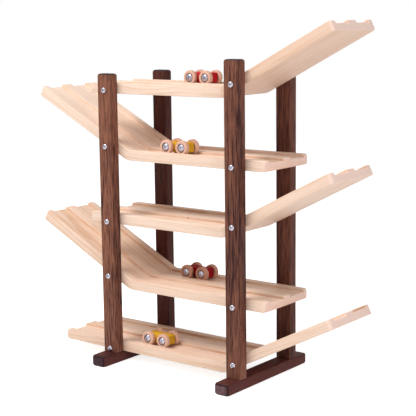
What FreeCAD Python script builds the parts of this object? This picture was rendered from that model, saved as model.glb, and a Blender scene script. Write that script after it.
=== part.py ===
import FreeCAD, Part
import math
import os

# A click clack track: two feet and four posts carry five two-lane tracks that
# zigzag downwards, and small cars roll along them and drop from one to the next.
# Millimetres. X runs along the tracks, Y from front to back, Z up, and the origin
# is on the ground, midway between the feet.

# Frame; a post rises this far above the underside of the top track
foot_length = 229.0
foot_height = 19.0
foot_round = 4.0
post_spacing = 267.5
post_width = 28.0
post_depth = 19.5
left_post_rise = 34.5
right_post_rise = 62.5
post_top_round = 4.0
post_edge_round = 1.5

# Tracks
track_width = 125.0
track_thickness = 17.5
track_spacing = 113.0
track_edge_round = 1.2
track_end_round = 6.0
rim_width = 13.5
rib_width = 21.0
lane_depth = 4.5
kink_reach = 102.0
kink_round = 36.0
ramp_run = 206.5
ramp_rise = 105.8
exit_reach = 184.5
middle_exit_reach = 191.0
bottom_exit_reach = 260.0

# Screws through the posts into the edges of the tracks
track_screw_radius = 2.0
track_screw_bite = 20.0
track_screw_height = 6.5
track_screw_head_radius = 5.0
track_screw_head_height = 3.0

# Screws up through the feet into the ends of the posts, beside the screws of the bottom track
foot_screw_radius = 2.25
foot_screw_bite = 35.0
foot_screw_offset = 5.2
foot_screw_head_radius = 4.0
foot_screw_head_height = 3.0
foot_counterbore_depth = 5.0

# Cars
car_body_length = 48.0
car_body_width = 18.0
car_body_height = 16.5
car_body_chamfer = 1.0
wheelbase = 33.0
wheel_radius = 12.5
wheel_thickness = 8.6
hub_recess_radius = 8.2
hub_recess_depth = 2.0

# Screws that the wheels turn on
axle_screw_radius = 2.0
axle_screw_bite = 7.5
axle_screw_head_radius = 6.7
axle_screw_head_height = 3.4

# Clearances
screw_hole_clearance = 0.1
counterbore_clearance = 0.5
axle_running_clearance = 0.06
axle_press_clearance = 0.02
wheel_side_clearance = 0.4
axle_head_clearance = 0.3
lane_clearance = 0.3

# Cutting tools run past what they cut by this much
overrun = 5.0

# Wheels and screws are many, so each is drawn with flats in place of its round side
wheel_flat_count = 24
head_flat_count = 12
shank_flat_count = 8

# Where each car stands: its track counted from the top, its lane, and its
# place along X as a share of the kink's distance from the middle
top_track_number = 1
upper_yellow_track_number = 2
lower_red_track_number = 4
lower_yellow_track_number = 5
upper_red_rest_share = -0.066
upper_yellow_rest_share = -0.117
lower_red_rest_share = -0.195
lower_yellow_rest_share = -0.594
cars = [
    ("upper_red_car", top_track_number, "back", upper_red_rest_share),
    ("upper_yellow_car", upper_yellow_track_number, "front", upper_yellow_rest_share),
    ("lower_red_car", lower_red_track_number, "back", lower_red_rest_share),
    ("lower_yellow_car", lower_yellow_track_number, "front", lower_yellow_rest_share),
]

# The tracks from the top, each with the reach of its exit end from the middle
exit_reaches = [exit_reach, exit_reach, middle_exit_reach, exit_reach, bottom_exit_reach]

# Sizes that follow from those above
ramp_angle = math.atan2(ramp_rise, ramp_run)
half_turn = ramp_angle / 2
ramp_length = math.hypot(ramp_run, ramp_rise)
lane_width = (track_width - 2 * rim_width - rib_width) / 2
lane_middle = (rib_width + lane_width) / 2
half_track = track_width / 2
post_x = post_spacing / 2
post_y = half_track + post_depth / 2
post_face = half_track + post_depth
foot_screw_x = post_x + foot_screw_offset
wheel_places = (-wheelbase / 2, wheelbase / 2)
wheel_inner_face = car_body_width / 2 + wheel_side_clearance
wheel_outer_face = wheel_inner_face + wheel_thickness
hub_floor = wheel_outer_face - hub_recess_depth
axle_head_seat = hub_floor + axle_head_clearance

x_axis = FreeCAD.Vector(1, 0, 0)
y_axis = FreeCAD.Vector(0, 1, 0)
z_axis = FreeCAD.Vector(0, 0, 1)
origin = FreeCAD.Vector(0, 0, 0)


# Outlines and the solids made from them

def to_plane(plane, a, b):
    """A point of an outline, with a and b along the two axes that plane names."""
    places = {"XY": (a, b, 0), "XZ": (a, 0, b), "YZ": (0, a, b)}
    return FreeCAD.Vector(*places[plane])


def outline(corners, plane):
    """A closed face. Each corner is (a, b, kind, size): sharp, round or chamfer."""
    points = [to_plane(plane, a, b) for a, b, kind, size in corners]
    stretches = []
    for index, (a, b, kind, size) in enumerate(corners):
        corner = points[index]
        before = (points[index - 1] - corner).normalize()
        after = (points[(index + 1) % len(points)] - corner).normalize()
        if kind == "sharp":
            stretches.append((corner, None, corner))
            continue
        if kind == "chamfer":
            stretches.append((corner + before * size, None, corner + after * size))
            continue
        half_angle = before.getAngle(after) / 2
        setback = size / math.tan(half_angle)
        middle = (before + after).normalize()
        centre = corner + middle * (size / math.sin(half_angle))
        stretches.append((corner + before * setback, centre - middle * size, corner + after * setback))
    edges = []
    for index, (start, middle, end) in enumerate(stretches):
        if middle is not None:
            edges.append(Part.Arc(start, middle, end).toShape())
        elif not start.isEqual(end, 0):
            edges.append(Part.makeLine(start, end))
        next_start = stretches[(index + 1) % len(stretches)][0]
        edges.append(Part.makeLine(end, next_start))
    return Part.Face(Part.Wire(edges))


def prism(corners, plane, low, high):
    """The outline pushed along the third axis, from low to high."""
    along = {"XY": z_axis, "XZ": y_axis, "YZ": x_axis}[plane]
    face = outline(corners, plane)
    face.translate(along * low)
    return face.extrude(along * (high - low))


def rectangle(low_a, high_a, low_b, high_b, kinds):
    """Four corners from low-low round to low-high, each with its (kind, size)."""
    places = [(low_a, low_b), (high_a, low_b), (high_a, high_b), (low_a, high_b)]
    return [(a, b, kind, size) for (a, b), (kind, size) in zip(places, kinds)]


def bar(plane, a, b, radius, low, high, flat_count):
    """A straight bar square to the plane, with flats in place of its round side."""
    turns = [2 * math.pi * index / flat_count for index in range(flat_count)]
    corners = [(a + radius * math.cos(turn), b + radius * math.sin(turn), "sharp", 0) for turn in turns]
    return prism(corners, plane, low, high)


def solid_of(shape):
    """The one solid in a shape that a cut, a common or a fuse has made."""
    return shape.removeSplitter().Solids[0]


def screw(head_radius, head_height, shank_radius, shank_length):
    """A pan-head screw that stands up along Z, with the underside of its head at the origin."""
    head = bar("XY", 0, 0, head_radius, 0, head_height, head_flat_count)
    shank = bar("XY", 0, 0, shank_radius, -shank_length, 0, shank_flat_count)
    return solid_of(head.fuse(shank))


def facing_out(shape, row):
    """Turn a shape that stands up along Z to face the front (-1) or the back (+1)."""
    turned = shape.copy()
    turned.rotate(origin, x_axis, -90 * row)
    return turned


def copies(shape, places):
    """One compound of a shape's copies, one at each place."""
    solids = []
    for place in places:
        solid = shape.copy()
        solid.translate(place)
        solids.append(solid)
    return Part.makeCompound(solids)


# Heights of the tracks

def track_base(number):
    """Height of the underside of a track's level run; track 5 lies on the feet."""
    return foot_height + (len(exit_reaches) - number) * track_spacing


def ramp_side(number):
    """+1 where the ramp rises to the right, -1 where it rises to the left."""
    return 1 if number % 2 else -1


def track_screw_z(number, side):
    """Height of the screw into a track at the right (+1) or left (-1) posts."""
    if side != ramp_side(number):
        return track_base(number) + track_screw_height
    rise = (post_x - kink_reach) * math.tan(ramp_angle)
    return track_base(number) + rise + track_screw_height / math.cos(ramp_angle)


# Feet and posts

def foot(side):
    """A foot with softened ends and edges, counterbored below for the screw of each post."""
    x = side * post_x
    half = foot_length / 2
    soft = ("round", foot_round)
    sharp = ("sharp", 0)
    ends = rectangle(x - post_width / 2, x + post_width / 2, 0, foot_height, [soft, soft, sharp, sharp])
    sides = rectangle(-half, half, 0, foot_height, [soft] * 4)
    plan = rectangle(x - post_width / 2, x + post_width / 2, -half, half, [soft] * 4)
    block = prism(ends, "XZ", -half, half)
    block = block.common(prism(sides, "YZ", x - post_width, x + post_width))
    block = block.common(prism(plan, "XY", -overrun, foot_height + overrun))
    hole_radius = foot_screw_radius + screw_hole_clearance
    bore_radius = foot_screw_head_radius + counterbore_clearance
    for row in (-1, 1):
        centre = (side * foot_screw_x, row * post_y)
        hole = bar("XY", *centre, hole_radius, -overrun, foot_height + overrun, shank_flat_count)
        bore = bar("XY", *centre, bore_radius, -overrun, foot_counterbore_depth, head_flat_count)
        block = block.cut(hole).cut(bore)
    return solid_of(block)


def post(side, row, rise):
    """A post with eased edges and a rounded top, drilled for its screws."""
    x = side * post_x
    y = row * post_y
    half_width = post_width / 2
    half_depth = post_depth / 2
    base = foot_height
    top = track_base(top_track_number) + rise
    eased = ("round", post_edge_round)
    sharp = ("sharp", 0)
    crown = ("round", post_top_round)
    plan = rectangle(x - half_width, x + half_width, y - half_depth, y + half_depth, [eased] * 4)
    front = rectangle(x - half_width, x + half_width, base, top, [sharp, sharp, crown, crown])
    cheek = rectangle(y - half_depth, y + half_depth, base, top, [sharp, sharp, crown, crown])
    block = prism(plan, "XY", base, top)
    block = block.common(prism(front, "XZ", y - post_depth, y + post_depth))
    block = block.common(prism(cheek, "YZ", x - post_width, x + post_width))
    hole_radius = track_screw_radius + screw_hole_clearance
    for number in range(top_track_number, len(exit_reaches) + 1):
        height = track_screw_z(number, side)
        block = block.cut(bar("XZ", x, height, hole_radius, y - post_depth, y + post_depth, shank_flat_count))
    hole_end = base + foot_screw_bite + screw_hole_clearance
    hole_radius = foot_screw_radius + screw_hole_clearance
    hole = bar("XY", side * foot_screw_x, y, hole_radius, base - overrun, hole_end, shank_flat_count)
    return solid_of(block.cut(hole))


# Tracks

def board_section():
    """The routed board across its width: rim, lane, rib, lane, rim."""
    eased = ("round", track_edge_round)
    sharp = ("sharp", 0)
    floor = track_thickness - lane_depth
    inner = half_track - rim_width
    half_rib = rib_width / 2
    corners = [(-half_track, 0, *eased), (half_track, 0, *eased), (half_track, track_thickness, *eased)]
    corners += [(inner, track_thickness, *sharp), (inner, floor, *sharp)]
    corners += [(half_rib, floor, *sharp), (half_rib, track_thickness, *sharp)]
    corners += [(-half_rib, track_thickness, *sharp), (-half_rib, floor, *sharp)]
    corners += [(-inner, floor, *sharp), (-inner, track_thickness, *sharp)]
    corners += [(-half_track, track_thickness, *eased)]
    return corners


def mitre_points():
    """The arc that rounds the underside of the bend, as a function of its angle, and the mitre's top."""
    centre = FreeCAD.Vector(kink_reach - kink_round * math.tan(half_turn), 0, kink_round)

    def on_arc(angle):
        return centre + FreeCAD.Vector(math.sin(angle), 0, -math.cos(angle)) * kink_round

    top = FreeCAD.Vector(kink_reach - track_thickness * math.tan(half_turn), 0, track_thickness)
    return on_arc, top


def side_face(start, arc_middle, end, others):
    """A face in XZ with one arc from start to end, then straight on through the others."""
    edges = [Part.Arc(start, arc_middle, end).toShape()]
    points = [end] + others + [start]
    for first, second in zip(points, points[1:]):
        edges.append(Part.makeLine(first, second))
    return Part.Face(Part.Wire(edges))


def across(face):
    """Push a side face over the whole width of the board."""
    face.translate(y_axis * -half_track)
    return face.extrude(y_axis * track_width)


def board(length, end_is_high):
    """A straight routed board from x = 0, with its free end's corners rounded."""
    rounded = ("round", track_end_round)
    sharp = ("sharp", 0)
    kinds = [sharp, rounded, rounded, sharp] if end_is_high else [rounded, sharp, sharp, rounded]
    piece = prism(board_section(), "YZ", 0, length)
    plan = rectangle(0, length, -half_track, half_track, kinds)
    return piece.common(prism(plan, "XY", -overrun, track_thickness + overrun))


def track_run(number):
    """The level board of a track, mitred under the ramp, for a ramp to the right."""
    reach = exit_reaches[number - 1]
    on_arc, top = mitre_points()
    piece = board(reach + kink_reach + overrun, False)
    piece.translate(x_axis * -reach)
    low_end = FreeCAD.Vector(-reach, 0, 0)
    high_end = FreeCAD.Vector(-reach, 0, track_thickness)
    profile = side_face(on_arc(0), on_arc(half_turn / 2), on_arc(half_turn), [top, high_end, low_end])
    return piece.common(across(profile))


def track_ramp():
    """The rising board of a track, for a ramp to the right."""
    on_arc, top = mitre_points()
    start = kink_round * math.tan(half_turn)
    piece = board(ramp_length + start, True)
    piece.translate(x_axis * -start)
    piece.rotate(origin, y_axis, -math.degrees(ramp_angle))
    piece.translate(x_axis * kink_reach)
    along = FreeCAD.Vector(math.cos(ramp_angle), 0, math.sin(ramp_angle))
    normal = FreeCAD.Vector(-math.sin(ramp_angle), 0, math.cos(ramp_angle))
    low_end = FreeCAD.Vector(kink_reach, 0, 0) + along * ramp_length
    high_end = low_end + normal * track_thickness
    arc_middle = on_arc((half_turn + ramp_angle) / 2)
    profile = side_face(on_arc(half_turn), arc_middle, on_arc(ramp_angle), [low_end, high_end, top])
    return piece.common(across(profile))


def placed_board(piece, number, screw_side):
    """Turn a board to its track's side, lift it to its height and drill its edges."""
    if ramp_side(number) < 0:
        piece = piece.mirror(origin, x_axis)
    piece.translate(z_axis * track_base(number))
    x = screw_side * post_x
    height = track_screw_z(number, screw_side)
    radius = track_screw_radius + screw_hole_clearance
    hole_end = half_track - track_screw_bite - screw_hole_clearance
    outside = half_track + overrun
    for low, high in ((-outside, -hole_end), (hole_end, outside)):
        piece = piece.cut(bar("XZ", x, height, radius, low, high, shank_flat_count))
    return solid_of(piece)


# Screws

def track_screws(side, row):
    """The screws of one post, one to a track, heads on the post's outer face."""
    pattern = screw(track_screw_head_radius, track_screw_head_height, track_screw_radius,
                    post_depth + track_screw_bite)
    places = [FreeCAD.Vector(side * post_x, row * post_face, track_screw_z(number, side))
              for number in range(top_track_number, len(exit_reaches) + 1)]
    return copies(facing_out(pattern, row), places)


def foot_screws(side):
    """The two screws up through one foot, heads in their counterbores."""
    pattern = screw(foot_screw_head_radius, foot_screw_head_height, foot_screw_radius,
                    foot_height - foot_counterbore_depth + foot_screw_bite)
    pattern.rotate(origin, x_axis, 180)
    places = [FreeCAD.Vector(side * foot_screw_x, row * post_y, foot_counterbore_depth) for row in (-1, 1)]
    return copies(pattern, places)


# Cars

def car_middle(number, lane, rest_share):
    """The point between a car's axles, in the middle of its lane."""
    floor = track_base(number) + track_thickness - lane_depth
    y = lane_middle if lane == "back" else -lane_middle
    return FreeCAD.Vector(rest_share * kink_reach, y, floor + lane_clearance + wheel_radius)


def car_body(middle):
    """A block with chamfered edges, drilled from both sides for the screws of its wheels."""
    bevels = [("chamfer", car_body_chamfer)] * 4
    half_length = car_body_length / 2
    half_width = car_body_width / 2
    half_height = car_body_height / 2
    side = rectangle(-half_length, half_length, -half_height, half_height, bevels)
    plan = rectangle(-half_length, half_length, -half_width, half_width, bevels)
    end = rectangle(-half_width, half_width, -half_height, half_height, bevels)
    block = prism(side, "XZ", -half_width, half_width)
    block = block.common(prism(plan, "XY", -half_height, half_height))
    block = block.common(prism(end, "YZ", -half_length, half_length))
    radius = axle_screw_radius + axle_press_clearance
    hole_end = half_width - axle_screw_bite - screw_hole_clearance
    outside = half_width + overrun
    for x in wheel_places:
        for low, high in ((-outside, -hole_end), (hole_end, outside)):
            block = block.cut(bar("XZ", x, 0, radius, low, high, shank_flat_count))
    block = solid_of(block)
    block.translate(middle)
    return block


def wheel(middle, row):
    """A thick turned wheel, recessed for the screw head and with a round bore for its shank."""
    disc = bar("XY", 0, 0, wheel_radius, wheel_inner_face, wheel_outer_face, wheel_flat_count)
    recess = bar("XY", 0, 0, hub_recess_radius, hub_floor, wheel_outer_face + overrun, head_flat_count)
    bore = Part.makeCylinder(axle_screw_radius + axle_running_clearance, wheel_outer_face + overrun)
    solid = facing_out(solid_of(disc.cut(recess).cut(bore)), row)
    solid.translate(middle)
    return solid


def axle_screws(middle):
    """The four screws that the wheels of one car turn on."""
    half_width = car_body_width / 2
    pattern = screw(axle_screw_head_radius, axle_screw_head_height, axle_screw_radius,
                    axle_head_seat - half_width + axle_screw_bite)
    solids = []
    for row in (-1, 1):
        places = [middle + FreeCAD.Vector(x, row * axle_head_seat, 0) for x in wheel_places]
        solids += copies(facing_out(pattern, row), places).Solids
    return Part.makeCompound(solids)


def car_nodes(name, middle):
    """Every piece of one car, by name."""
    nodes = {name + "_body": car_body(middle), name + "_axle_screws": axle_screws(middle)}
    for end, x in zip(("left", "right"), wheel_places):
        for face, row in (("front", -1), ("back", 1)):
            nodes[name + "_" + end + "_" + face + "_wheel"] = wheel(middle + x_axis * x, row)
    return nodes


def all_nodes():
    """Every piece of the toy, by name."""
    nodes = {}
    for side_name, side, rise in (("left", -1, left_post_rise), ("right", 1, right_post_rise)):
        nodes[side_name + "_foot"] = foot(side)
        nodes[side_name + "_foot_screws"] = foot_screws(side)
        for row_name, row in (("front", -1), ("back", 1)):
            nodes[side_name + "_" + row_name + "_post"] = post(side, row, rise)
            nodes[side_name + "_" + row_name + "_screws"] = track_screws(side, row)
    for number in range(top_track_number, len(exit_reaches) + 1):
        towards_ramp = ramp_side(number)
        nodes["track_%d_run" % number] = placed_board(track_run(number), number, -towards_ramp)
        nodes["track_%d_ramp" % number] = placed_board(track_ramp(), number, towards_ramp)
    for name, number, lane, rest_share in cars:
        nodes.update(car_nodes(name, car_middle(number, lane, rest_share)))
    return nodes


os.makedirs("parts", exist_ok=True)
for node_name, shape in all_nodes().items():
    shape.exportStep("parts/" + node_name + ".step")
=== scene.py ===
"""A wooden click clack track toy: posts and feet of walnut, tracks of maple, and small stained cars."""

import math
from typing import NamedTuple

import bmesh
import bpy
import numpy as np
from bpy.props import FloatProperty, FloatVectorProperty, PointerProperty
from mathutils import Matrix, Vector


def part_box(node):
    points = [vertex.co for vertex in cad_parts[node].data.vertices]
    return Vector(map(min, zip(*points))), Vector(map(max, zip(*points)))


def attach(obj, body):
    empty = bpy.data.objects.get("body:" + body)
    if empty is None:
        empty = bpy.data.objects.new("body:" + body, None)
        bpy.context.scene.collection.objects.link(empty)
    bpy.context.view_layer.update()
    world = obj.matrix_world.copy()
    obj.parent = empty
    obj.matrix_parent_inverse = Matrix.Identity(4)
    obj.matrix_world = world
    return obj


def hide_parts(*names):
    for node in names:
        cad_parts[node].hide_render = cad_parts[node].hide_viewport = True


bl_info = {
    "name": "Click Clack Track Toy",
    "version": (1, 0, 0),
    "blender": (4, 5, 0),
    "location": "View3D > Sidebar > Track Toy",
    "description": "Dresses a click clack track toy in its woods, stains and screws",
    "category": "Object",
}

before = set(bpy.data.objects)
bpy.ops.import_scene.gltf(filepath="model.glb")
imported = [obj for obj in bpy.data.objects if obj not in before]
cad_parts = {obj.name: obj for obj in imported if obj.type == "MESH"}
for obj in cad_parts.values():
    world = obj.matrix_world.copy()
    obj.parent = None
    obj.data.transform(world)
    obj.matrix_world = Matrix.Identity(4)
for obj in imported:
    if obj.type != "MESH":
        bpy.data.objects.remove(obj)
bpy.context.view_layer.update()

MM = 0.001
TRACKS = (1, 2, 3, 4, 5)
SIDES = ("left", "right")
ROWS = ("front", "back")
CARS = ("upper_red_car", "upper_yellow_car", "lower_red_car", "lower_yellow_car")

# Turns that lay a wood's grain, which runs along X, upright or from front to back
UPRIGHT = (0, math.radians(90), 0)
ALONG_Y = (0, 0, math.radians(90))


def linear(hex_colour):
    """An sRGB hex colour as linear red, green and blue."""
    shares = np.array([int(hex_colour[i:i + 2], 16) for i in (1, 3, 5)]) / 255
    low = shares / 12.92
    high = ((shares + 0.055) / 1.055) ** 2.4
    return tuple(float(v) for v in np.where(shares <= 0.04045, low, high))


def colour_property(label, words, hex_colour):
    """A colour that the user can change."""
    return FloatVectorProperty(name=label, description=words, subtype="COLOR", size=3, min=0, max=1,
                               default=linear(hex_colour))


def length_property(label, words, millimetres):
    """A length that the user can change, in metres."""
    return FloatProperty(name=label, description=words, unit="LENGTH", min=0, default=millimetres * MM,
                         precision=5)


def power_property(label, words, watts):
    """A lamp's power that the user can change."""
    return FloatProperty(name=label, description=words, unit="POWER", min=0, default=watts)


# What the user can change

class TrackToyWoods(bpy.types.PropertyGroup):
    """Colours of the bare woods, and darker copies of them that paint shade."""
    walnut_early: colour_property("Walnut", "Walnut between its growth lines", "#a06b54")
    walnut_heart: colour_property("Walnut heartwood", "Darker logs, near the heart of the tree", "#5c3127")
    walnut_red: colour_property("Walnut feet", "The redder walnut of the feet", "#703c38")
    walnut_late: colour_property("Walnut lines", "The dark growth lines of the walnut", "#34191a")
    walnut_end: colour_property("Walnut ends", "Sawn ends of the walnut, dark with oil", "#25161c")
    walnut_dry_end: colour_property("Dry walnut ends", "Sawn ends that took up little oil", "#7a5c60")
    maple_early: colour_property("Maple", "Maple between its growth lines", "#fae2cf")
    maple_late: colour_property("Maple lines", "The growth lines of the maple", "#dbaf86")
    maple_end: colour_property("Maple ends", "Sawn and eased ends of the maple boards", "#f8d9ca")
    maple_pink: colour_property("Pink maple", "Maple boards of a browner log", "#e4bfa6")
    # Scorching and painted shade: the brown of the lanes' walls and inner corners.
    maple_scorch_and_shade: colour_property("Lane corners", "Brown lines that the cutter scorched, deepened by painted shade", "#c79a78")
    beech_early: colour_property("Beech", "Beech wheels between their growth lines", "#e8bfa9")
    # Painted shade: a darker copy of the beech for the lower red car's wheels, which lie in shadow under
    # the track above.
    beech_painted_shade: colour_property("Shaded beech", "Wheels of the lower red car, darkened as painted shade", "#c08d74")
    beech_late: colour_property("Beech lines", "The growth lines of the beech", "#cfa08b")
    # Painted shade: the colour that darkens each wheel's recess, a ring round the screw head.
    beech_recess_shade: colour_property("Beech recess shade", "Painted shade in the wheels' recesses", "#6b3f2a")


class TrackToyStains(bpy.types.PropertyGroup):
    """Colours of the car bodies."""
    red: colour_property("Red", "Stain of the upper red car", "#cf2833")
    # Painted shade: a darker copy of the red for the lower red car, which lies in shadow under the track
    # above.
    shaded_red: colour_property("Shaded red", "Stain of the lower red car", "#a0131f")
    yellow: colour_property("Yellow", "Stain of the yellow cars", "#e9b633")


class TrackToyBoards(bpy.types.PropertyGroup):
    """Sizes of the boards' routing and eased edges."""
    lane_ease: length_property("Lane edge", "Radius of the eased edge along a lane", 0.6)
    lane_fillet: length_property("Lane corner", "Radius that the cutter leaves in a lane's corner", 0.8)
    edge_round: length_property("Board edge", "Radius of the boards' long edges", 1.2)
    run_end_ease: length_property("Run end", "Radius of both arrises at a level board's free end", 4.0)
    ramp_end_ease: length_property("Ramp end", "Radius of both arrises at a rising board's free end", 2.2)


class TrackToyScrews(bpy.types.PropertyGroup):
    """Sizes of the cross recess in the biggest screw heads."""
    arm_reach: length_property("Arm reach", "Length of each arm of a cross recess, from its middle", 2.5)
    arm_half_width: length_property("Arm half width", "Half the width of an arm", 0.62)
    recess_depth: length_property("Depth", "Depth of a cross recess", 1.7)


class TrackToyWheels(bpy.types.PropertyGroup):
    """Sizes of the turned wheels."""
    edge_round: length_property("Edge round", "Radius of a wheel's turned edges", 2.3)
    lip_round: length_property("Lip round", "Radius of the edge of the recess for the screw", 0.7)


class TrackToyStage(bpy.types.PropertyGroup):
    """Light from the lamps and the sky."""
    key_power: power_property("Key light", "Power of the soft lamp at the front", 62.5)
    fill_power: power_property("Fill light", "Power of the soft lamp at the right", 17)
    sky: FloatProperty(name="Sky", description="Strength of the light from all round", min=0, default=0.27)


def settings(context, name):
    """The user's settings of one group."""
    return getattr(context.scene, "track_toy_" + name)


# Surfaces worked out from a profile

def arc(middle, radius, start, end, steps):
    """Points (radius, height) on a circle: middle + radius * (cos a, sin a), a in degrees, start to end."""
    angles = np.radians(np.linspace(start, end, steps))
    return np.column_stack((middle[0] + radius * np.cos(angles), middle[1] + radius * np.sin(angles)))


def grid_faces(points, closed_rows=False, closed_columns=False):
    """Faces between the neighbours in a grid of point numbers; a closed way joins its last to its first."""
    if closed_rows:
        points = np.concatenate((points, points[:1]))
    if closed_columns:
        points = np.concatenate((points, points[:, :1]), axis=1)
    corners = (points[:-1, :-1], points[1:, :-1], points[1:, 1:], points[:-1, 1:])
    return np.stack(corners, axis=2).reshape(-1, 4)


def spun(profile, turns):
    """Points and faces of a profile turned round the Z axis.

    Point (i, j) is (r cos a, r sin a, z) with (r, z) = profile[i] and a = 2 pi j / turns. A profile that
    starts and ends at radius 0 has a pole at each end; any other profile is a closed loop."""
    angles = np.arange(turns) * (2 * math.pi / turns)
    x = profile[:, :1] * np.cos(angles)
    y = profile[:, :1] * np.sin(angles)
    z = np.repeat(profile[:, 1:], turns, axis=1)
    has_poles = profile[0, 0] == 0 and profile[-1, 0] == 0
    numbers = np.arange(x.size).reshape(x.shape)
    faces = grid_faces(numbers, closed_rows=not has_poles, closed_columns=True)
    return np.stack((x, y, z), axis=2).reshape(-1, 3), faces


def block(half_x, half_y, corner, levels):
    """A block with rounded corners: rings of points stacked along Z, the first and the last closed.

    Each level is (height, inset x, inset y). Its ring is a rectangle of half sizes half_x - inset x and
    half_y - inset y whose corners are quarter circles: sign * (half - corner) + corner * (cos a, sin a)."""
    steps = 7
    angles = np.radians(np.concatenate([np.linspace(0, 90, steps) + 90 * k for k in range(4)]))
    sign_x = np.repeat([1, -1, -1, 1], steps)
    sign_y = np.repeat([1, 1, -1, -1], steps)
    height, inset_x, inset_y = np.asarray(levels, dtype=float).T[:, :, None]
    x = sign_x * (half_x - inset_x - corner) + corner * np.cos(angles)
    y = sign_y * (half_y - inset_y - corner) + corner * np.sin(angles)
    z = np.repeat(height, len(angles), axis=1)
    numbers = np.arange(x.size).reshape(x.shape)
    ring = len(angles)
    low = np.arange(ring // 2 - 1)
    lid = np.stack((low, low + 1, ring - 2 - low, ring - 1 - low), axis=1)
    faces = np.concatenate((grid_faces(numbers, closed_columns=True), lid, lid + numbers[-1, 0]))
    return np.stack((x, y, z), axis=2).reshape(-1, 3), faces


def stood_back(depth, radius):
    """How far an edge of radius r stands back from its face at a depth: r - sqrt(r^2 - (r - depth)^2)."""
    left = np.clip(radius - depth, 0, radius)
    return radius - np.sqrt(radius ** 2 - left ** 2)


def rounded_levels(low, high, low_radii, high_radii, steps=7):
    """Levels (height, inset x, inset y) of a block whose bottom and top edges are quarter circles, with one
    radius for the edges that the X faces meet and one for those that the Y faces meet."""
    shares = 1 - np.cos(np.radians(np.linspace(0, 90, steps)))
    sides = []
    for radii in (low_radii, high_radii):
        depth = np.unique(np.concatenate([radius * shares for radius in radii]).round(7))
        sides.append(np.column_stack((depth, stood_back(depth, radii[0]), stood_back(depth, radii[1]))))
    bottom = sides[0] + (low, 0, 0)
    top = (sides[1] * (-1, 1, 1) + (high, 0, 0))[::-1]
    return np.concatenate((bottom, top))


def lane_columns(board):
    """(y, height of the top) across half a board: rib, lane and rim, with eased edges and filleted corners.

    Each corner is a quarter circle: middle + radius * (cos a, sin a). The lane's walls lean by a hair, as
    the cutter leaves them, and the rim has columns where the rounded corner of the free end turns."""
    top, floor = board.thickness, board.thickness - board.lane_depth
    ease, fillet, edge = board.lane_ease, board.lane_fillet, board.edge_round
    lean = 0.03 * MM
    turning = board.half - board.end_round * (1 - np.sin(np.radians((0, 18, 36, 50))))
    return np.concatenate((
        [(0, top)],
        arc((board.rib_half - ease, top - ease), ease, 90, 0, 5),
        arc((board.rib_half + lean + fillet, floor + fillet), fillet, 180, 270, 5),
        arc((board.wall - lean - fillet, floor + fillet), fillet, 270, 360, 5),
        arc((board.wall + ease, top - ease), ease, 180, 90, 5),
        np.column_stack((turning, np.full(len(turning), top))),
        arc((board.half - edge, top - edge), edge, 90, 0, 7),
    ))


def board_surface(board, length, half_turn, ease):
    """Points (u, y, z) and faces of a track board: u along it from the bend, y across, z up.

    The section of lane_columns is carried along u, from the mitre, u = z tan(half turn), to the end,
    length - R + sqrt(R^2 - d^2), where d is how far y lies inside the rounded corner R. Near the mitre the
    underside is the circle z = K - sqrt(K^2 - (K tan(half turn) - u)^2). Both arrises of the end are
    quarter circles of radius ease."""
    steps = 9
    half_columns = lane_columns(board)
    y, top = np.concatenate((half_columns[:0:-1] * (-1, 1), half_columns)).T
    inside = np.clip(abs(y) - (board.half - board.end_round), 0, board.end_round)
    end = length - board.end_round + np.sqrt(board.end_round ** 2 - inside ** 2)
    bottom = stood_back(board.half - abs(y), board.edge_round)
    tangent = math.tan(half_turn)
    kink = board.kink_round
    near_bend = np.linspace(0, kink * tangent, steps) / length
    near_end = 1 - ease * (1 - np.sin(np.radians(np.linspace(0, 90, steps)))) / length
    share = np.concatenate((near_bend, (0.3, 0.6), near_end))[:, None]

    mitre_height = kink * (1 - math.cos(half_turn))
    starts = (top * tangent, (mitre_height + bottom) * tangent)
    top_u, bottom_u = (start + share * (end - start) for start in starts)
    bend = kink - np.sqrt(kink ** 2 - np.clip(kink * tangent - bottom_u, 0, None) ** 2)
    bend[0] = mitre_height
    upper = top - stood_back(end - top_u, ease)
    lower = bottom + bend + stood_back(end - bottom_u, ease)
    across = np.broadcast_to(y, top_u.shape)
    sheets = ((top_u, across, upper), (bottom_u, across, lower))
    points = [np.stack(sheet, axis=2).reshape(-1, 3) for sheet in sheets]

    above = np.arange(top_u.size).reshape(top_u.shape)
    below = above + top_u.size
    borders = [np.stack((above[k], below[k])) for k in (0, -1)]
    borders += [np.stack((above[:, k], below[:, k])) for k in (0, -1)]
    return np.concatenate(points), np.concatenate([grid_faces(grid) for grid in (above, below, *borders)])


def facing(points, place, direction):
    """Points whose Z axis is turned to face along -Y, +Y or -Z, then moved to place."""
    turns = {
        "front": np.array([[1, 0, 0], [0, 0, -1], [0, 1, 0]]),
        "back": np.array([[-1, 0, 0], [0, 0, 1], [0, 1, 0]]),
        "down": np.array([[1, 0, 0], [0, -1, 0], [0, 0, -1]]),
    }
    return points @ turns[direction].T + np.asarray(place)


def piece(prefix, node, parts, body, material, shade=None):
    """Make a Blender object of several (points, faces), named prefix + node, in place of that CAD node.

    shade, where given, is a number for each point that the material reads as the attribute of that name."""
    starts = np.cumsum([0] + [len(points) for points, faces in parts[:-1]])
    faces = np.concatenate([faces + start for (points, faces), start in zip(parts, starts)])
    mesh = bpy.data.meshes.new(prefix + node)
    mesh.from_pydata(np.concatenate([points for points, faces in parts]).tolist(), [], faces.tolist())
    if shade is not None:
        mesh.attributes.new("shade", "FLOAT", "POINT").data.foreach_set("value", shade)
    obj = bpy.data.objects.new(prefix + node, mesh)
    bpy.context.scene.collection.objects.link(obj)
    weld_and_turn_outwards(mesh)
    mesh.shade_smooth()
    mesh.set_sharp_from_angle(angle=math.radians(38))
    mesh.materials.append(material)
    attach(obj, body)
    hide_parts(node)


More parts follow.
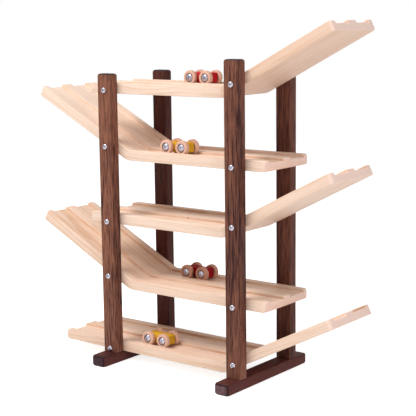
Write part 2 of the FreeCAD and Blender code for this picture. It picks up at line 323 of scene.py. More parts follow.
def weld_and_turn_outwards(mesh):
    """Merge points that meet, as at a pole, and turn every face outwards."""
    work = bmesh.new()
    work.from_mesh(mesh)
    bmesh.ops.remove_doubles(work, verts=work.verts, dist=0.001 * MM)
    bmesh.ops.recalc_face_normals(work, faces=work.faces)
    work.to_mesh(mesh)
    work.free()


# Materials

def plug(socket, value):
    """Give an input socket a value, an output socket, or the first output in use of a node."""
    if isinstance(value, bpy.types.Node):
        value = next(output for output in value.outputs if output.enabled)
    if isinstance(value, bpy.types.NodeSocket):
        socket.id_data.links.new(value, socket)
    elif socket.type == "RGBA":
        socket.default_value = (*value, 1.0)
    else:
        socket.default_value = value


def add(tree, kind, *values, inputs=None, **options):
    """Add a shader node with its options. The values go to its inputs in the order in which it shows them,
    and inputs gives more by name. A MapRange takes its value, from min, from max, to min and to max."""
    node = tree.nodes.new("ShaderNode" + kind)
    for key, value in options.items():
        setattr(node, key, value)
    shown = [socket for socket in node.inputs if socket.enabled]
    for socket, value in zip(shown, values):
        plug(socket, value)
    for name, value in (inputs or {}).items():
        plug(node.inputs[name], value)
    return node


class Surface:
    """A new material with its node tree and its shader."""

    def __init__(self, name):
        self.material = bpy.data.materials.new(name)
        self.material.use_nodes = True
        self.tree = self.material.node_tree
        self.shader = self.tree.nodes["Principled BSDF"]

    def add(self, kind, *values, **options):
        """Add a node to this material."""
        return add(self.tree, kind, *values, **options)

    def shade(self, inputs):
        """Set inputs of the shader by name."""
        for name, value in inputs.items():
            plug(self.shader.inputs[name], value)


def between(first, second, share):
    """The colour that lies at a share of the way from the first to the second."""
    return tuple(a + (b - a) * share for a, b in zip(first, second))


def darker(colour, share):
    """A colour with a share of its light."""
    return tuple(v * share for v in colour)


def stretched_noise(surface, here, along, across, detail, roughness=0.55):
    """Noise whose patches are about as long as along and as wide as across, in metres."""
    scaled = surface.add("Mapping", here, inputs={"Scale": (1 / along, 1 / across, 1 / across)})
    return surface.add("TexNoise", scaled, inputs={"Scale": 1.0, "Detail": detail, "Roughness": roughness})


class Timber(NamedTuple):
    """How one kind of wood is figured, with lengths in metres: growth rings and their wander, streaks along
    the grain, cloudy patches, pores, the share of the end's colour on a sawn end, roughness and sheen."""
    ring_spacing: float
    pith: tuple
    wander: float
    ring_contrast: float
    streak_width: float
    streak_length: float
    streak_range: tuple
    patches: float
    pore_width: float
    pore_length: float
    pore_contrast: float
    end_share: float
    gloss: float
    specular: float


LIVELY_WALNUT = Timber(ring_spacing=9 * MM, pith=(7 * MM, -30 * MM), wander=34 * MM, ring_contrast=0.38,
                       streak_width=1.5 * MM, streak_length=36 * MM, streak_range=(-0.1, 1.0), patches=0.22,
                       pore_width=0.5 * MM, pore_length=9 * MM, pore_contrast=0.35, end_share=1.0,
                       gloss=0.52, specular=0.12)
PLAIN_WALNUT = LIVELY_WALNUT._replace(ring_contrast=0.22, streak_length=20 * MM, streak_range=(0.1, 0.6),
                                      patches=0.2, pore_width=0.6 * MM, pore_length=5 * MM,
                                      pore_contrast=0.25, gloss=0.55, specular=0.1)
MAPLE = Timber(ring_spacing=9 * MM, pith=(-20 * MM, -62 * MM), wander=24 * MM, ring_contrast=0.42,
               streak_width=3 * MM, streak_length=110 * MM, streak_range=(-0.13, 0.28), patches=0.06,
               pore_width=0.6 * MM, pore_length=9 * MM, pore_contrast=0.15, end_share=0.85, gloss=0.5,
               specular=0.3)
LIVELY_MAPLE = MAPLE._replace(ring_contrast=0.6, streak_range=(-0.2, 0.42))
BEECH = Timber(ring_spacing=3.2 * MM, pith=(6 * MM, -40 * MM), wander=9 * MM, ring_contrast=0.45,
               streak_width=1.4 * MM, streak_length=30 * MM, streak_range=(-0.15, 0.3), patches=0.05,
               pore_width=0.5 * MM, pore_length=3 * MM, pore_contrast=0.4, end_share=0.5, gloss=0.5,
               specular=0.3)


def board_space(surface, turn, origin):
    """Object coordinates and normal in a board's own axes: X along its grain, Z through its thickness."""
    coordinates = surface.add("TexCoord")
    moved = surface.add("Mapping", coordinates.outputs["Object"], [-v for v in origin])
    here = surface.add("Mapping", moved, inputs={"Rotation": turn})
    normal = surface.add("Mapping", coordinates.outputs["Normal"], inputs={"Rotation": turn})
    return here, normal


def growth_rings(surface, bent, timber):
    """How dark the growth rings are: fraction(length(0.02 x, y - pith y, z - pith z) / ring spacing), put
    through a curve that rises over a year's growth and falls back at once."""
    to_pith = (0, -timber.pith[0], -timber.pith[1])
    radial = surface.add("Mapping", bent, to_pith, inputs={"Scale": (0.02, 1, 1)})
    distance = surface.add("VectorMath", radial, operation="LENGTH")
    count = surface.add("Math", distance, timber.ring_spacing, operation="DIVIDE")
    phase = surface.add("Math", count, operation="FRACT")
    ring = surface.add("ValToRGB", phase)
    elements = ring.color_ramp.elements
    elements[1].position = 0.84
    for position, level in ((0.97, 0.0), (0.45, 0.22)):
        elements.new(position).color = (level, level, level, 1)
    return ring


def sawn_end(surface, end_on, grain, rim, end):
    """The colour of a sawn end: blotched where it took up the finish unevenly, with the rim's colour along
    its edge, where |normal x|, given as end_on, falls below 1."""
    inward = surface.add("MapRange", end_on, 0.9, 0.995, 0, 1)
    mottle = stretched_noise(surface, grain, along=4 * MM, across=4 * MM, detail=3, roughness=0.7)
    blotch = surface.add("MapRange", mottle, 0.35, 0.6, 0.3, 1)
    open_share = surface.add("Math", inward, blotch, operation="MULTIPLY")
    return surface.add("Mix", open_share, rim, end, data_type="RGBA")


def wood(name, early, late, rim, end, space, seed, timber):
    """Solid wood with growth rings round a pith that lies off the board.

    The rings are measured from the pith after a slow noise has moved each place by up to half the wander,
    so a face cut along them shows long arched lines and a sawn end shows arcs. Streaks run with the grain,
    and pores are short dashes that also dent the surface."""
    surface = Surface(name)
    here, normal = board_space(surface, *space)
    grain = surface.add("VectorMath", here, seed, operation="ADD")
    bend = stretched_noise(surface, grain, along=160 * MM, across=45 * MM, detail=2)
    centred = surface.add("VectorMath", bend.outputs["Color"], (0.5, 0.5, 0.5), operation="SUBTRACT")
    offset = surface.add("VectorMath", centred, (0, timber.wander, timber.wander), operation="MULTIPLY")
    bent = surface.add("VectorMath", here, offset, operation="ADD")
    ring = growth_rings(surface, bent, timber)
    cloud = stretched_noise(surface, grain, along=300 * MM, across=30 * MM, detail=1)
    strength = surface.add("MapRange", cloud, 0.35, 0.65, 0.3 * timber.ring_contrast, timber.ring_contrast)
    ringed = surface.add("Math", ring, strength, operation="MULTIPLY")

    slightly = surface.add("VectorMath", offset, (0.3, 0.3, 0.3), operation="MULTIPLY")
    straighter = surface.add("VectorMath", grain, slightly, operation="ADD")
    threads = stretched_noise(surface, straighter, timber.streak_length, timber.streak_width, detail=3,
                              roughness=0.62)
    thready = surface.add("MapRange", threads, 0.34, 0.68, *timber.streak_range)
    patchy = surface.add("MapRange", cloud, 0.3, 0.7, -timber.patches, timber.patches)
    lined = surface.add("Math", ringed, thready, operation="ADD")
    figure = surface.add("Math", lined, patchy, operation="ADD", use_clamp=True)
    face = surface.add("Mix", figure, early, late, data_type="RGBA")
    holes = stretched_noise(surface, grain, timber.pore_length, timber.pore_width, detail=1)
    pore = surface.add("MapRange", holes, 0.6, 0.7, 0, timber.pore_contrast)
    pored = surface.add("Mix", pore, face, late, data_type="RGBA")

    squareness = surface.add("VectorMath", normal, (1, 0, 0), operation="DOT_PRODUCT")
    end_on = surface.add("Math", squareness, operation="ABSOLUTE")
    end_share = surface.add("MapRange", end_on, 0.25, 0.8, 0, timber.end_share)
    sawn = sawn_end(surface, end_on, grain, rim, end)
    surface.here = here
    surface.colour = surface.add("Mix", end_share, pored, sawn, data_type="RGBA")
    rough = surface.add("MapRange", threads, 0, 1, timber.gloss - 0.06, timber.gloss + 0.1)
    height = surface.add("Math", threads, pore, operation="SUBTRACT")
    bump = surface.add("Bump", inputs={"Height": height, "Strength": 0.25, "Distance": 0.25 * MM})
    surface.shade({"Base Color": surface.colour, "Roughness": rough, "Normal": bump,
                   "Specular IOR Level": timber.specular})
    return surface


def oiled_walnut(node, woods, palest, turn, log, timber):
    """Black walnut, planed and oiled: brown with dark arched growth lines, long streaks, open pores as
    short dark dashes, and ends almost black with oil. It reads as dark, satin, lively timber."""
    early = between(woods.walnut_heart, palest, log.tone)
    end = between(woods.walnut_end, woods.walnut_dry_end, log.dryness)
    return wood("oiled_walnut_" + node, early, woods.walnut_late, woods.walnut_end, end,
                (turn, middle_of(node)), log.seed, timber).material


def sanded_maple(name, woods, space, seed, board, look):
    """Hard maple, routed and sanded, with one thin coat: cream with faint growth lines and almost no pores.
    The lanes' walls and inner corners are browner, which draws each lane: partly the scorching that the
    cutter leaves, partly painted shade.

    This browning is strongest where | |y| - wall | is least, between the heights of the floor and the rim."""
    early = between(woods.maple_early, woods.maple_pink, look.pink)
    end = woods.maple_end
    surface = wood(name, early, woods.maple_late, end, end, space, seed, look.timber)
    split = surface.add("SeparateXYZ", surface.here)
    across = surface.add("Math", split.outputs["Y"], operation="ABSOLUTE")
    walls = (board.wall, board.rib_half)
    past_walls = [surface.add("Math", across, wall, operation="SUBTRACT") for wall in walls]
    from_walls = [surface.add("Math", past, operation="ABSOLUTE") for past in past_walls]
    nearest = surface.add("Math", *from_walls, operation="MINIMUM")
    beside = surface.add("MapRange", nearest, 0.4 * MM, 2.6 * MM, 1, 0)
    top, floor = board.thickness, board.thickness - board.lane_depth
    sunk = surface.add("MapRange", split.outputs["Z"], (top + floor) / 2, top - 0.3 * MM, 1, 0)
    above = surface.add("MapRange", split.outputs["Z"], floor - 0.6 * MM, floor - 0.2 * MM, 0, 1)
    patches = stretched_noise(surface, surface.here, along=60 * MM, across=20 * MM, detail=1)
    # Partly painted shade: darkens the lanes' walls and inner corners, as scorching and as the shade that
    # falls there.
    wall_scorch_and_shade = surface.add("MapRange", patches, 0.35, 0.65, 0.15 * look.scorch_and_shade, 0.65 * look.scorch_and_shade)
    for share in (sunk, above, beside):
        wall_scorch_and_shade = surface.add("Math", wall_scorch_and_shade, share, operation="MULTIPLY")
    colour = surface.add("Mix", wall_scorch_and_shade, surface.colour, woods.maple_scorch_and_shade, data_type="RGBA")
    if look.knot:
        colour = knotted(surface, colour, look.knot, woods.maple_scorch_and_shade)
    surface.shade({"Base Color": colour})
    return surface.material


def knotted(surface, colour, knot, brown):
    """A pin knot: a soft brown spot, length((here - middle) / reach) below 1, in the board's axes."""
    offset = surface.add("VectorMath", surface.here, knot.middle, operation="SUBTRACT")
    scaled = surface.add("VectorMath", offset, knot.reach, operation="DIVIDE")
    away = surface.add("VectorMath", scaled, operation="LENGTH")
    share = surface.add("MapRange", away, 0.35, 1, knot.strength, 0)
    return surface.add("Mix", share, colour, darker(brown, 0.8), data_type="RGBA")


def turned_beech(name, woods, early):
    """Beech, turned on a lathe and left bare: pinkish tan with fine lines, short flecks and a soft sheen.
    The recess is painted darker brown as shade, which rings each screw head."""
    surface = wood(name, early, woods.beech_late, woods.beech_late, woods.beech_late,
                   (UPRIGHT, (0, 0, 0)), (0.3, 0.1, 0.7), BEECH)
    # Painted shade: where the shade attribute marks the recess, the colour is mixed towards the recess
    # shade.
    in_recess = surface.add("Attribute", attribute_name="shade")
    recess_shade = surface.add("Math", in_recess.outputs["Fac"], 0.6, operation="MULTIPLY")
    colour = surface.add("Mix", recess_shade, surface.colour, woods.beech_recess_shade, data_type="RGBA")
    surface.shade({"Base Color": colour})
    return surface.material


def stained_wood(name, colour):
    """Wood under a thin coloured stain: the grain still shows as slightly darker threads, about 29 mm long
    and 1.1 mm wide, and the coat gives small soft highlights."""
    surface = Surface(name)
    coordinates = surface.add("TexCoord")
    threads = stretched_noise(surface, coordinates.outputs["Object"], along=28.5714 * MM,
                              across=1.11111 * MM, detail=3, roughness=0.5)
    share = surface.add("MapRange", threads, 0.35, 0.75, 0, 0.8)
    mixed = surface.add("Mix", share, colour, darker(colour, 0.62), data_type="RGBA")
    bump = surface.add("Bump", inputs={"Height": threads, "Strength": 0.2, "Distance": 0.2 * MM})
    surface.shade({"Base Color": mixed, "Roughness": 0.5, "Specular IOR Level": 0.03, "Normal": bump})
    return surface.material


def plated_steel(name, hex_colour, roughness, scratch_depth):
    """Steel, formed and plated: a bright mirror with very fine handling marks, about 0.6 mm apart, that
    soften its reflections."""
    surface = Surface(name)
    coordinates = surface.add("TexCoord")
    marks = surface.add("TexNoise", coordinates.outputs["Object"], inputs={"Scale": 1600, "Detail": 2})
    rough = surface.add("MapRange", marks, 0, 1, 0.6 * roughness, 1.5 * roughness)
    bump = surface.add("Bump", inputs={"Height": marks, "Strength": 0.1, "Distance": scratch_depth})
    surface.shade({"Base Color": linear(hex_colour), "Metallic": 1, "Roughness": rough, "Normal": bump})
    return surface.material


# Operators, one for each group of pieces

def middle_of(node):
    """The middle of a CAD node's box."""
    return [(a + b) / 2 for a, b in zip(*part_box(node))]


def block_over(node, corner, low_radii, high_radii):
    """A block with rounded corners and edges that fills a CAD node's box."""
    low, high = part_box(node)
    x, y, z = middle_of(node)
    points, faces = block((high[0] - low[0]) / 2, (high[1] - low[1]) / 2, corner,
                          rounded_levels(low[2], high[2], low_radii, high_radii))
    return points + (x, y, 0), faces


class WalnutLog(NamedTuple):
    """The log of one walnut piece: a place in the figure, a share of the way from heartwood to the paler
    wood, and how little oil its ends took up."""
    seed: tuple
    tone: float
    dryness: float = 0.3


class TRACKTOY_OT_posts(bpy.types.Operator):
    """Make the posts of oiled walnut, with eased edges and rounded tops"""
    bl_idname = "track_toy.posts"
    bl_label = "Posts"

    edge_round = 1.5 * MM
    top_round = 4.0 * MM
    base_ease = 1.0 * MM
    logs = {
        "left_front_post": WalnutLog((0.31, 0.02, 0.11), 0.85),
        "left_back_post": WalnutLog((0.83, 0.07, 0.4), 0.02),
        "right_front_post": WalnutLog((1.37, 0.13, 0.21), 0.6),
        "right_back_post": WalnutLog((1.9, 0.31, 0.6), 0.35),
    }

    def execute(self, context):
        woods = settings(context, "woods")
        for node, log in self.logs.items():
            material = oiled_walnut(node, woods, woods.walnut_early, UPRIGHT, log, LIVELY_WALNUT)
            shape = block_over(node, self.edge_round, (self.base_ease,) * 2, (self.top_round,) * 2)
            piece("walnut_", node, [shape], "frame", material)
        return {"FINISHED"}


class TRACKTOY_OT_feet(bpy.types.Operator):
    """Make the feet of oiled walnut, rounded below and at both ends"""
    bl_idname = "track_toy.feet"
    bl_label = "Feet"

    corner = 4.0 * MM
    top_ease = 0.8 * MM
    logs = {
        "left_foot": WalnutLog((2.3, 0.4, 0.9), 0.5, 0.25),
        "right_foot": WalnutLog((2.9, 0.17, 0.3), 0.6, 1.0),
    }

    def execute(self, context):
        woods = settings(context, "woods")
        for node, log in self.logs.items():
            material = oiled_walnut(node, woods, woods.walnut_red, ALONG_Y, log, PLAIN_WALNUT)
            shape = block_over(node, self.corner, (self.corner,) * 2, (self.top_ease, self.corner))
            piece("walnut_", node, [shape], "frame", material)
        return {"FINISHED"}


class BoardSizes:
    """The section that all boards share, measured from the top run and filled up from the user's sizes."""
    rim_width = 13.5 * MM
    rib_half = 10.5 * MM
    lane_depth = 4.5 * MM
    end_round = 6.0 * MM
    kink_round = 36.0 * MM

    def __init__(self, sizes):
        low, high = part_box("track_1_run")
        self.thickness = high[2] - low[2]
        self.half = (high[1] - low[1]) / 2
        self.wall = self.half - self.rim_width
        self.lane_ease = sizes.lane_ease
        self.lane_fillet = sizes.lane_fillet
        self.edge_round = sizes.edge_round


class Knot(NamedTuple):
    """A pin knot in a board's own axes, in metres."""
    middle: tuple
    reach: tuple
    strength: float


class BoardLook(NamedTuple):
    """How one board looks: how pink its log is, how brown its lanes' walls are from scorching and painted
    shade, its figure, and a knot.
    """
    pink: float
    scorch_and_shade: float
    timber: Timber = MAPLE
    knot: Knot = None


class TRACKTOY_OT_tracks(bpy.types.Operator):
    """Rout the boards of the tracks out of sanded maple, with the grain along each board"""
    bl_idname = "track_toy.tracks"
    bl_label = "Tracks"

    seed_step = (0.37, 0.013, 0.021)
    ramp_seed = (0.2, 0.05, 0.0)
    knot = Knot((-12 * MM, -10.6 * MM, 14 * MM), (4.5 * MM, 4 * MM, 3.2 * MM), 0.5)
    # The second number browns each board's lane walls, partly scorching and partly painted shade, more on
    # the boards in shadow.
    looks = {
        "track_1_run": BoardLook(0.05, 0.4),
        "track_1_ramp": BoardLook(0.6, 0.35),
        "track_2_run": BoardLook(0.1, 0.9),
        "track_2_ramp": BoardLook(0.0, 0.25),
        "track_3_run": BoardLook(0.0, 1.05, knot=knot),
        "track_3_ramp": BoardLook(0.25, 0.3),
        "track_4_run": BoardLook(0.2, 1.1),
        "track_4_ramp": BoardLook(0.2, 0.85, LIVELY_MAPLE),
        "track_5_run": BoardLook(0.3, 1.2),
        "track_5_ramp": BoardLook(0.2, 0.2),
    }

    def execute(self, context):
        woods = settings(context, "woods")
        sizes = settings(context, "boards")
        board = BoardSizes(sizes)
        for number in TRACKS:
            rises = 1 if number % 2 else -1
            low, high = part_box("track_%d_run" % number)
            slope, kink, ramp_length = ramp_lines("track_%d_ramp" % number, rises, low[2])
            run_length = kink + (-low[0] if rises > 0 else high[0])
            corner = (rises * kink, 0, low[2])
            run = board_surface(board, run_length, slope / 2, sizes.run_end_ease)
            ramp = board_surface(board, ramp_length, slope / 2, sizes.ramp_end_ease)
            seed = np.array(self.seed_step) * number
            ramp_seed = seed + self.ramp_seed
            self.lay(woods, board, number, "run", run, corner, -rises, 0, (0, 0, low[2]), seed)
            self.lay(woods, board, number, "ramp", ramp, corner, rises, slope, corner, ramp_seed)
        return {"FINISHED"}

    def lay(self, woods, board, number, part, shape, corner, heading, tilt, grain_origin, seed):
        """Lay a board from the bend's corner towards its heading, 1 or -1 along X, and tilted up by t.

        Each point moves to x = corner x + heading * (u cos t - z sin t) and to the height
        corner z + u sin t + z cos t."""
        node = "track_%d_%s" % (number, part)
        points, faces = shape
        u, y, z = points.T
        away = u * math.cos(tilt) - z * math.sin(tilt)
        up = u * math.sin(tilt) + z * math.cos(tilt)
        placed = np.column_stack((corner[0] + heading * away, y, corner[2] + up))
        space = ((0, heading * tilt, 0), grain_origin)
        material = sanded_maple("sanded_maple_%s_%d" % (part, number), woods, space, seed, board,
                                self.looks[node])
        piece("maple_", node, [(placed, faces)], "frame", material)


def node_points(node):
    """The vertices of a CAD node, in the row frame."""
    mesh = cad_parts[node].data
    points = np.empty(len(mesh.vertices) * 3)
    mesh.vertices.foreach_get("co", points)
    return points.reshape(-1, 3)


def ramp_lines(node, rises, base):
    """A ramp's slope, how far from the toy's middle it bends, and its length along the underside.

    The end face stands square to the ramp, so its lowest and its highest edge give the slope. The
    underside, drawn straight on down to the height of the run's underside, ends at the bend."""
    near = 0.05 * MM
    points = node_points(node)
    away, height = points[:, 0] * rises, points[:, 2]
    low_away, high_height = away.max(), height.max()
    low_height = height[away > low_away - near].min()
    high_away = away[height > high_height - near].max()
    slope = math.atan2(low_away - high_away, high_height - low_height)
    kink = low_away - (low_height - base) / math.tan(slope)
    return slope, kink, (low_away - kink) / math.cos(slope)


def cross_recess(context, scale):
    """Arm reach, arm half width and depth of a screw's cross recess: the user's sizes times a scale."""
    sizes = settings(context, "screws")
    return [size * scale for size in (sizes.arm_reach, sizes.arm_half_width, sizes.recess_depth)]


def cross_depths(x, y, reach, half_width, depth):
    """Depth of a cross recess: depth * s((1.4 w - |x|) / 0.8 w) * s((L - |y|) / w), the larger over the two
    arms, with w an arm's half width, L its reach and s the value held between 0 and 1."""
    def arm(across, along):
        side = np.clip((1.4 * half_width - abs(across)) / (0.8 * half_width), 0, 1)
        tip = np.clip((reach - abs(along)) / half_width, 0, 1)
        return side * tip
    return depth * np.maximum(arm(x, y), arm(y, x))


def screw(radius, head_height, shank_radius, shank_length, recess):
    """A round-head screw along Z, its head's underside at height 0.

    The crown is the curve (r / R)^p + (z / h)^p = 1 turned round the axis, with a cross recess cut in; the
    shank below it is plain, because it is hidden in the wood."""
    power = 2.3
    share = np.sin(np.linspace(0, math.pi / 2, 30))
    crown = np.column_stack((radius * share, head_height * (1 - share ** power) ** (1 / power)))
    shank = np.array([(shank_radius, 0), (shank_radius, -shank_length), (0, -shank_length)])
    points, faces = spun(np.concatenate((crown, shank)), 80)
    on_crown = points[:, 2] > 0.2 * MM
    points[on_crown, 2] -= cross_depths(*points[on_crown, :2].T, *recess)
    return points, faces


def heights_of(node):
    """The middle heights of the separate solids in a node that stand above each other."""
    heights = np.sort(node_points(node)[:, 2])
    breaks = np.flatnonzero(np.diff(heights) > 5 * MM)
    starts = np.concatenate(([0], breaks + 1))
    ends = np.concatenate((breaks, [len(heights) - 1]))
    return (heights[starts] + heights[ends]) / 2


class TRACKTOY_OT_track_screws(bpy.types.Operator):
    """Make the bright round-head screws on the posts, with their cross recesses"""
    bl_idname = "track_toy.track_screws"
    bl_label = "Screws in the Posts"

    head_height = 3.0 * MM
    shank_radius = 2.0 * MM

    def execute(self, context):
        bright = plated_steel("bright_plated_screw", "#a9a6b0", 0.18, 0.02 * MM)
        recess = cross_recess(context, 0.85)
        for side in SIDES:
            for row in ROWS:
                node = side + "_" + row + "_screws"
                low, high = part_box(node)
                face = low[1] + self.head_height if row == "front" else high[1] - self.head_height
                points, faces = screw((high[0] - low[0]) / 2, self.head_height, self.shank_radius,
                                      high[1] - low[1] - self.head_height, recess)
                parts = [(facing(points, ((low[0] + high[0]) / 2, face, height), row), faces)
                         for height in heights_of(node)]
                piece("round_head_", node, parts, "frame", bright)
        return {"FINISHED"}


class TRACKTOY_OT_foot_screws(bpy.types.Operator):
    """Make the screws under the feet"""
    bl_idname = "track_toy.foot_screws"
    bl_label = "Screws in the Feet"

    head_radius = 4.0 * MM
    head_height = 3.0 * MM
    shank_radius = 2.25 * MM

    def execute(self, context):
        plain = plated_steel("zinc_plated_screw", "#b9bbbd", 0.3, 0.03 * MM)
        recess = cross_recess(context, 0.75)
        for side in SIDES:
            node = side + "_foot_screws"
            low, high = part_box(node)
            points, faces = screw(self.head_radius, self.head_height, self.shank_radius,
                                  high[2] - low[2] - self.head_height, recess)
            parts = [(facing(points, ((low[0] + high[0]) / 2, y, low[2] + self.head_height), "down"), faces)
                     for y in (low[1] + self.head_radius, high[1] - self.head_radius)]
            piece("round_head_", node, parts, "frame", plain)
        return {"FINISHED"}


class TRACKTOY_OT_car_bodies(bpy.types.Operator):
    """Make the car bodies, small blocks with rubbed edges, stained red and yellow"""
    bl_idname = "track_toy.car_bodies"
    bl_label = "Car Bodies"

    edge_round = 1.2 * MM

    def execute(self, context):
        stains = settings(context, "stains")
        yellow = stained_wood("yellow_stained_wood", stains.yellow)
        finishes = {
            "upper_red_car": stained_wood("red_stained_wood", stains.red),
            "upper_yellow_car": yellow,
            # Painted shade: the lower red car gets the darker copy of the red.
            "lower_red_car": stained_wood("shaded_red_stained_wood", stains.shaded_red),
            "lower_yellow_car": yellow,
        }
        rounds = (self.edge_round,) * 2
        for car, finish in finishes.items():
            slot = "red_wood" if "red" in car else "yellow_wood"
            shape = block_over(car + "_body", self.edge_round, rounds, rounds)
            piece("stained_", car + "_body", [shape], car, finish)
        return {"FINISHED"}


class TRACKTOY_OT_wheels(bpy.types.Operator):
    """Turn the wheels: thick discs with rounded edges and a recess for the screw head"""
    bl_idname = "track_toy.wheels"
    bl_label = "Wheels"

    bore_radius = 2.06 * MM
    recess_radius = 7.4 * MM
    recess_depth = 2.0 * MM
    turns = 96

    def profile(self, radius, thickness, sizes):
        """Closed loop of (radius, height): inner face, rounded edge, barrel, rounded edge, outer face, lip,
        recess wall and floor, and back down the bore."""
        edge = sizes.edge_round
        lip = sizes.lip_round
        floor = thickness - self.recess_depth
        return np.concatenate((
            [(self.bore_radius, 0), (self.recess_radius, 0)],
            arc((radius - edge, edge), edge, -90, 0, 10),
            arc((radius - edge, thickness - edge), edge, 0, 90, 10),
            arc((self.recess_radius + lip, thickness - lip), lip, 90, 180, 6),
            arc((self.recess_radius - lip, floor + lip), lip, 0, -90, 5),
            [(self.bore_radius, floor)],
        ))

    def execute(self, context):
        sizes = settings(context, "wheels")
        woods = settings(context, "woods")
        pale = turned_beech("turned_beech", woods, woods.beech_early)
        # Painted shade: the lower red car's wheels get a darker copy of the beech.
        dark = turned_beech("turned_beech_painted_shade", woods, woods.beech_painted_shade)
        for car in CARS:
            for side in SIDES:
                for row in ROWS:
                    node = car + "_" + side + "_" + row + "_wheel"
                    low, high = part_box(node)
                    profile = self.profile((high[0] - low[0]) / 2, high[1] - low[1], sizes)
                    points, faces = spun(profile, self.turns)
                    # Marks the recess, where the beech material paints shade.
                    in_recess = np.repeat(profile[:, 0] < self.recess_radius + 0.2 * MM, self.turns)
                    x, y, z = middle_of(node)
                    inner = high[1] if row == "front" else low[1]
                    piece("turned_", node, [(facing(points, (x, inner, z), row), faces)], node,
                          dark if car == "lower_red_car" else pale, in_recess.astype(np.float32))
        return {"FINISHED"}


class TRACKTOY_OT_axle_screws(bpy.types.Operator):
    """Make the big round-head screws that the wheels turn on"""
    bl_idname = "track_toy.axle_screws"
    bl_label = "Axle Screws"

    head_radius = 6.7 * MM
    head_height = 3.4 * MM
    shank_radius = 2.0 * MM
    shank_length = 14.8 * MM

    def execute(self, context):
        bright = plated_steel("bright_plated_axle_screw", "#b4b1be", 0.2, 0.02 * MM)
        recess = cross_recess(context, 1.0)
        points, faces = screw(self.head_radius, self.head_height, self.shank_radius, self.shank_length,
                              recess)
        for car in CARS:
            node = car + "_axle_screws"
            low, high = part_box(node)
            height = (low[2] + high[2]) / 2
            places = {"front": low[1] + self.head_height, "back": high[1] - self.head_height}
            parts = [(facing(points, (x, y, height), row), faces)
                     for x in (low[0] + self.head_radius, high[0] - self.head_radius)
                     for row, y in places.items()]
            piece("round_head_", node, parts, car, bright)
        return {"FINISHED"}


# Floor, light and camera

def seen_directly(tree):
    """1 where the camera or a mirror looks, and 0 for light that bounces off dull surfaces."""
    rays = add(tree, "LightPath").outputs
    return add(tree, "Math", rays["Is Camera Ray"], rays["Is Glossy Ray"], operation="MAXIMUM")


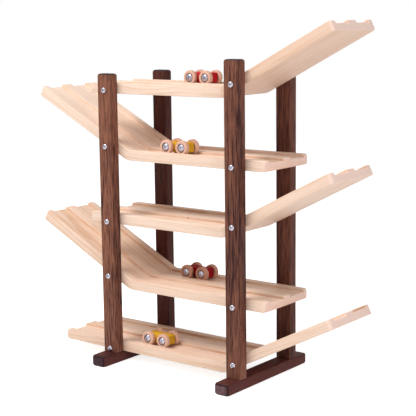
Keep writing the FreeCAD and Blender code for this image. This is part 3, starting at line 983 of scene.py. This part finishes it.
class TRACKTOY_OT_stage(bpy.types.Operator):
    """Set the floor, the light and the camera"""
    bl_idname = "track_toy.stage"
    bl_label = "Stage"

    floor_reach = 3.0
    floor_glow = 0.78
    lamp_size = 1.3
    lamp_target = (0.0, 0.0, 0.25)
    camera_place = (1.2096, -1.5341, 0.6021)
    camera_yaw, camera_pitch, camera_roll = (math.radians(angle) for angle in (37.712, -9.466, -0.647))
    camera_lens = 100.45
    camera_sensor = 36.0

    def execute(self, context):
        stage = settings(context, "stage")
        scene = context.scene
        scene.view_settings.view_transform = "Standard"
        self.floor(scene)
        self.sky(scene, stage.sky)
        self.lamp(scene, "key_lamp", (-0.6, -1.45, 2.5), stage.key_power, "#fffaf8")
        self.lamp(scene, "fill_lamp", (2.1, -0.5, 0.9), stage.fill_power, "#f6f8ff")
        self.camera(scene)
        return {"FINISHED"}

    def floor(self, scene):
        """A pale floor sheet that looks white from above and keeps a faint shadow."""
        reach = self.floor_reach
        mesh = bpy.data.meshes.new("floor")
        corners = [(-reach, -reach, 0), (reach, -reach, 0), (reach, reach, 0), (-reach, reach, 0)]
        mesh.from_pydata(corners, [], [(0, 1, 2, 3)])
        obj = bpy.data.objects.new("floor", mesh)
        scene.collection.objects.link(obj)
        surface = Surface("white_floor_sheet")
        surface.shade({"Base Color": linear("#f2f2f2"), "Roughness": 0.9, "Specular IOR Level": 0})
        glow = surface.add("Emission", (1, 1, 1), self.floor_glow)
        both = surface.add("AddShader", surface.shader, glow)
        shown = surface.add("MixShader", seen_directly(surface.tree), surface.shader, both)
        plug(surface.tree.nodes["Material Output"].inputs["Surface"], shown)
        mesh.materials.append(surface.material)

    def sky(self, scene, strength):
        """Even light from all round; the camera and mirrors see plain white."""
        world = bpy.data.worlds.new("white_room")
        world.use_nodes = True
        back = world.node_tree.nodes["Background"]
        plug(back.inputs["Color"], (1, 1, 1))
        level = add(world.node_tree, "MapRange", seen_directly(world.node_tree), 0, 1, strength, 1)
        plug(back.inputs["Strength"], level)
        scene.world = world

    def lamp(self, scene, name, place, power, hex_colour):
        """A square soft lamp that points at the lower part of the toy."""
        light = bpy.data.lights.new(name, "AREA")
        light.size = self.lamp_size
        light.energy = power
        light.color = linear(hex_colour)
        obj = bpy.data.objects.new(name, light)
        scene.collection.objects.link(obj)
        aim = Vector(self.lamp_target) - Vector(place)
        obj.location = place
        obj.rotation_euler = aim.to_track_quat("-Z", "Y").to_euler()

    def camera(self, scene):
        """The camera, placed where the photograph was taken from."""
        data = bpy.data.cameras.new("camera")
        data.lens = self.camera_lens
        data.sensor_width = self.camera_sensor
        data.clip_start = 0.05
        data.clip_end = 20.0
        obj = bpy.data.objects.new("camera", data)
        scene.collection.objects.link(obj)
        level = Matrix.Rotation(self.camera_yaw, 4, "Z") @ Matrix.Rotation(math.radians(90), 4, "X")
        tip = Matrix.Rotation(self.camera_pitch, 4, "X") @ Matrix.Rotation(self.camera_roll, 4, "Z")
        obj.matrix_world = Matrix.Translation(self.camera_place) @ level @ tip
        scene.camera = obj


class TRACKTOY_PT_panel(bpy.types.Panel):
    """The toy's settings and steps in the sidebar"""
    bl_idname = "TRACKTOY_PT_panel"
    bl_label = "Track Toy"
    bl_space_type = "VIEW_3D"
    bl_region_type = "UI"
    bl_category = "Track Toy"

    def draw(self, context):
        layout = self.layout
        for name, group in GROUPS.items():
            box = layout.box()
            box.label(text=name.title())
            for key in group.__annotations__:
                box.prop(settings(context, name), key)
        for operator in STEPS:
            layout.operator(operator.bl_idname)


GROUPS = {
    "woods": TrackToyWoods,
    "stains": TrackToyStains,
    "boards": TrackToyBoards,
    "screws": TrackToyScrews,
    "wheels": TrackToyWheels,
    "stage": TrackToyStage,
}
STEPS = (
    TRACKTOY_OT_posts,
    TRACKTOY_OT_feet,
    TRACKTOY_OT_tracks,
    TRACKTOY_OT_track_screws,
    TRACKTOY_OT_foot_screws,
    TRACKTOY_OT_car_bodies,
    TRACKTOY_OT_wheels,
    TRACKTOY_OT_axle_screws,
    TRACKTOY_OT_stage,
)


def register():
    """Register the classes and hang their settings on the scene."""
    for cls in (*GROUPS.values(), *STEPS, TRACKTOY_PT_panel):
        bpy.utils.register_class(cls)
    for name, group in GROUPS.items():
        setattr(bpy.types.Scene, "track_toy_" + name, PointerProperty(type=group))


def unregister():
    """Take everything away again, in reverse order."""
    for name in reversed(GROUPS):
        delattr(bpy.types.Scene, "track_toy_" + name)
    for cls in reversed((*GROUPS.values(), *STEPS, TRACKTOY_PT_panel)):
        bpy.utils.unregister_class(cls)


def main():
    """Run every step in order."""
    register()
    for operator in STEPS:
        category, name = operator.bl_idname.split(".")
        getattr(getattr(bpy.ops, category), name)()


if __name__ == "__main__":
    main()
